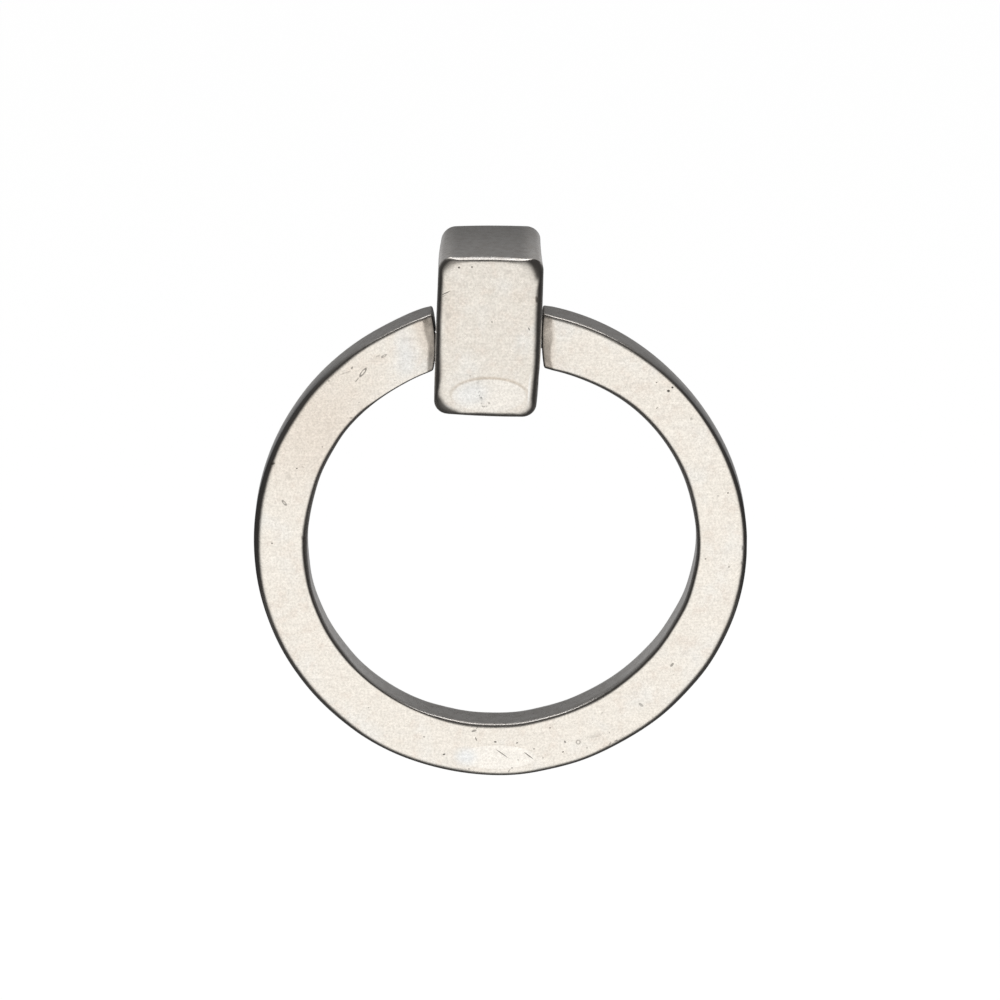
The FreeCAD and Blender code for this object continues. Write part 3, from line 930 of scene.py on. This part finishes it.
def ring_painted_light(finish):
    """Painted light and shade on the ring's sides: the outside is painted darker along its front
    edge, and the ends that face the block are painted darkest."""
    x, y, z = finish.axes(finish.place)
    sideways, _, _ = finish.axes(finish.coordinates.outputs["Normal"])
    # Painted shade on the ends beside the block, where the gap lies in shade
    at_block = finish.ramp(finish.math("ABSOLUTE", x), (BLOCK_HALF[0] + 3.5) * MM,
                           (BLOCK_HALF[0] + 2.5) * MM)
    end = finish.math("MULTIPLY", at_block,
                      finish.ramp(finish.math("ABSOLUTE", sideways), 0.50, 0.85, 0.0, 0.85))
    centre = tuple(c * MM for c in (RING_X, PIN_AXIS[1], RING_Z))
    outwards = finish.add("ShaderNodeVectorMath", {0: finish.place, 1: centre},
                          operation="SUBTRACT")
    outside = finish.add("ShaderNodeVectorMath",
                         {0: outwards, 1: finish.coordinates.outputs["Normal"]},
                         output="Value", operation="DOT_PRODUCT")
    outside = finish.ramp(outside, 0.0, 0.01)
    away_from_ends = finish.ramp(z, -5.0 * MM, -14.0 * MM)
    front = RING_LOW[1]
    shade = finish.ramp(y, (front + 1.2) * MM, (front + 5.0) * MM, -0.80, 0.10)
    shade = finish.math("MULTIPLY", shade, finish.math("MULTIPLY", outside, away_from_ends))
    shade = finish.math("ADD", shade, 1.08)
    return finish.math("MULTIPLY", shade, finish.math("SUBTRACT", 1.0, end))


def side_colour(finish, painted_light):
    """The sides: a darker colour as painted shade, with soft blotches, times a painted light and shade."""
    blotches = finish.ramp(finish.noise(1.2, 3.0), 0.35, 0.7)
    side = finish.mix(blotches, SIDE_SHADE_BRONZE, (0.385, 0.365, 0.345, 1))
    return finish.mix(1.0, side, painted_light(finish), "MULTIPLY")


# Painted shade: darkens the block's face beyond each listed corner, near the front only
def painted_corner_shade(finish, corners, face_y):
    x, y, z = finish.axes(finish.place)
    near_face = finish.ramp(y, (face_y + 1.6) * MM, (face_y + 1.0) * MM)
    dark = finish.math("ADD", 0.0, 0.0)
    for corner in corners:
        middle = face_place(corner, face_y) * MM
        outside = finish.ramp(finish.from_middle(corner, face_y), 0.86, 1.20, 0.0, 0.9)
        for axis, centre, sign in ((x, middle[0], corner.right), (z, middle[2], corner.up)):
            past = finish.ramp(axis, float(centre), float(centre) + sign * 1.2 * MM)
            outside = finish.math("MULTIPLY", outside, past)
        dark = finish.math("MAXIMUM", dark, outside)
    return finish.math("MULTIPLY", dark, near_face)


def bronze_finish(name, pale, marks, tints, face_y, painted_light, corners=()):
    finish = Finish(name)
    face, rim = facing(finish)
    # Rims get the dark painted shade; the faces keep their pale colour
    colour = finish.mix(rim, side_colour(finish, painted_light), RIM_SHADE_BRONZE)
    pale_face = face_colour(finish, pale, tints, face_y)
    # Painted shade over two corners of the block's face
    if corners:
        pale_face = finish.mix(painted_corner_shade(finish, corners, face_y), pale_face, CORNER_SHADE)
    colour = finish.mix(face, colour, pale_face)
    pits = finish.math("MAXIMUM", all_marks(finish, marks, face_y), scattered_pits(finish))
    colour = finish.mix(pits, colour, PIT_BROWN)
    finish.put(finish.shader.inputs["Base Color"], colour)
    finish.put(finish.shader.inputs["Metallic"], BRONZE_METALLIC)
    rough = finish.ramp(finish.noise(0.8, 4.0, 0.6), 0.3, 0.7, 0.26, 0.34)
    finish.put(finish.shader.inputs["Roughness"], rough)
    fine = finish.math("MULTIPLY", finish.noise(0.30, 3.0, 0.6), 0.2)
    height = finish.math("SUBTRACT", fine, finish.math("MULTIPLY", pits, 2.0))
    bump = finish.add("ShaderNodeBump", {"Height": height, "Distance": 0.01 * MM,
                                         "Strength": 0.6})
    finish.put(finish.shader.inputs["Normal"], bump)
    return finish.material


def steel_finish():
    finish = Finish("ground_steel")
    stretched = finish.add("ShaderNodeVectorMath", {0: finish.place, 1: (1.0, 0.1, 0.1)},
                           operation="MULTIPLY")
    lines = finish.add("ShaderNodeTexNoise", {"Vector": stretched, "Scale": 1 / (0.05 * MM),
                                              "Detail": 3.0})
    colour = finish.mix(lines, (0.52, 0.52, 0.53, 1), (0.66, 0.66, 0.66, 1))
    finish.put(finish.shader.inputs["Base Color"], colour)
    finish.put(finish.shader.inputs["Metallic"], 1.0)
    finish.put(finish.shader.inputs["Roughness"], finish.ramp(lines, 0.3, 0.7, 0.22, 0.34))
    bump = finish.add("ShaderNodeBump", {"Height": lines, "Distance": 0.005 * MM})
    finish.put(finish.shader.inputs["Normal"], bump)
    return finish.material


def paint(piece, material):
    piece.data.materials.clear()
    piece.data.materials.append(material)


# Studio

FLOOR_Z = -0.25
FLOOR_SIZE = 12.0
TENT_RADIUS = 0.35
TENT_TOP = 0.36
SIDES_OF_TENT = 96


def plane(name, size, place):
    half = size / 2
    corners = [(-half, -half, 0), (half, -half, 0), (half, half, 0), (-half, half, 0)]
    mesh = bpy.data.meshes.new(name)
    mesh.from_pydata(corners, [], [(0, 1, 2, 3)])
    made = bpy.data.objects.new(name, mesh)
    made.location = place
    bpy.context.scene.collection.objects.link(made)
    return made


def shine_only(obj):
    """The object is seen in reflections alone: it isn't in view, lights nothing and casts no
    shadow."""
    obj.visible_camera = False
    obj.visible_diffuse = False
    obj.visible_transmission = False
    obj.visible_shadow = False
    obj.visible_volume_scatter = False


def floor_material():
    finish = Finish("pale_floor")
    tree = finish.tree
    tree.nodes.remove(finish.shader)
    path = tree.nodes.new("ShaderNodeLightPath")
    seen = finish.math("MAXIMUM", path.outputs["Is Camera Ray"], path.outputs["Is Glossy Ray"])
    seen = finish.math("MAXIMUM", seen, path.outputs["Is Transmission Ray"])
    diffuse = finish.add("ShaderNodeBsdfDiffuse", {"Color": (0.97, 0.97, 0.97, 1)}, output="BSDF")
    glow = finish.add("ShaderNodeEmission", {"Color": (1, 1, 1, 1), "Strength": 1.0})
    share = finish.math("MULTIPLY", seen, 0.8)
    mixed = finish.add("ShaderNodeMixShader", {0: share, 1: diffuse, 2: glow})
    finish.put(tree.nodes["Material Output"].inputs["Surface"], mixed)
    return finish.material


def glow_material(name, strength):
    """strength(finish) gives the socket or number for how bright the surface is."""
    finish = Finish(name)
    tree = finish.tree
    tree.nodes.remove(finish.shader)
    glow = finish.add("ShaderNodeEmission", {"Color": (1, 1, 1, 1),
                                             "Strength": strength(finish)})
    finish.put(tree.nodes["Material Output"].inputs["Surface"], glow)
    finish.material.cycles.emission_sampling = "NONE"
    return finish.material


def tent_brightness(finish):
    """Bright low in front, dark flags to both sides, grey behind and above."""
    _, y, z = finish.axes(finish.place)
    toward = finish.math("DIVIDE", y, -TENT_RADIUS)
    front = finish.ramp(toward, 0.55, 0.93, DARK_FLAG, FRONT_CARD)
    back = finish.ramp(toward, -0.75, -0.97, 0.0, LOW_BACK_CARD - DARK_FLAG)
    low = finish.math("ADD", front, back)
    high = finish.ramp(toward, -0.3, 0.5, BACK_CARD, FRONT_TOP_CARD)
    height = finish.ramp(z, -0.05, 0.03)
    rise = finish.math("SUBTRACT", high, low)
    return finish.math("ADD", low, finish.math("MULTIPLY", rise, height))


FRONT_CARD = 1.08
DARK_FLAG = 0.08
BACK_CARD = 0.165
FRONT_TOP_CARD = 0.12
LOW_BACK_CARD = 0.50
LAMP_RADIANCE = 9.0
UNDER_CARD = 0.20


def make_tent():
    """A round wall about the object that only its reflections show, open at the top."""
    angle = np.arange(SIDES_OF_TENT) * math.tau / SIDES_OF_TENT
    ring = np.stack([TENT_RADIUS * np.cos(angle), TENT_RADIUS * np.sin(angle), angle * 0], -1)
    low, high = ring + [0, 0, FLOOR_Z], ring + [0, 0, TENT_TOP]
    quads = [(i, (i + 1) % SIDES_OF_TENT, (i + 1) % SIDES_OF_TENT + SIDES_OF_TENT,
              i + SIDES_OF_TENT) for i in range(SIDES_OF_TENT)]
    mesh = bpy.data.meshes.new("tent")
    mesh.from_pydata(np.concatenate([low, high]).tolist(), [], quads)
    tent = bpy.data.objects.new("tent", mesh)
    bpy.context.scene.collection.objects.link(tent)
    shine_only(tent)
    paint(tent, glow_material("tent_cards", tent_brightness))


def make_studio():
    floor = plane("floor", FLOOR_SIZE, (0, 0, FLOOR_Z))
    paint(floor, floor_material())
    under = plane("under_card", 0.60, (0, 0.12, FLOOR_Z + 0.01))
    shine_only(under)
    paint(under, glow_material("dark_card", lambda finish: UNDER_CARD))
    make_tent()
    lid = plane("tent_lid", 2 * TENT_RADIUS, (0, 0, TENT_TOP))
    shine_only(lid)
    paint(lid, glow_material("grey_card", lambda finish: BACK_CARD))
    lamp = bpy.data.lights.new("soft_top", "AREA")
    lamp.shape = "RECTANGLE"
    lamp.size = 0.50
    lamp.size_y = 0.11
    lamp.energy = LAMP_RADIANCE * math.pi * lamp.size * lamp.size_y
    top = bpy.data.objects.new("soft_top", lamp)
    top.location = (0, -0.075, 0.33)
    top.rotation_euler = (-math.atan2(0.075, 0.33), 0, 0)
    bpy.context.scene.collection.objects.link(top)
    world = bpy.data.worlds.new("white_room")
    world.use_nodes = True
    world.node_tree.nodes["Background"].inputs["Color"].default_value = (1, 1, 1, 1)
    world.node_tree.nodes["Background"].inputs["Strength"].default_value = 1.0
    bpy.context.scene.world = world
    bpy.context.scene.view_settings.view_transform = "Standard"


CAD_LOW = np.array(CAD_BOUNDS[0]) / MM
CAD_HIGH = np.array(CAD_BOUNDS[1]) / MM

make_camera()
make_studio()
block = make_block()
ring = make_ring()
paint(block, bronze_finish("block_bronze", BLOCK_BRONZE, BLOCK_MARKS, BLOCK_TINTS,
                           BLOCK_LOW[1], block_painted_light, BLOCK_SHADED_CORNERS))
paint_ring(ring)
paint(frame["nodes"]["pivot_pin"], steel_finish())
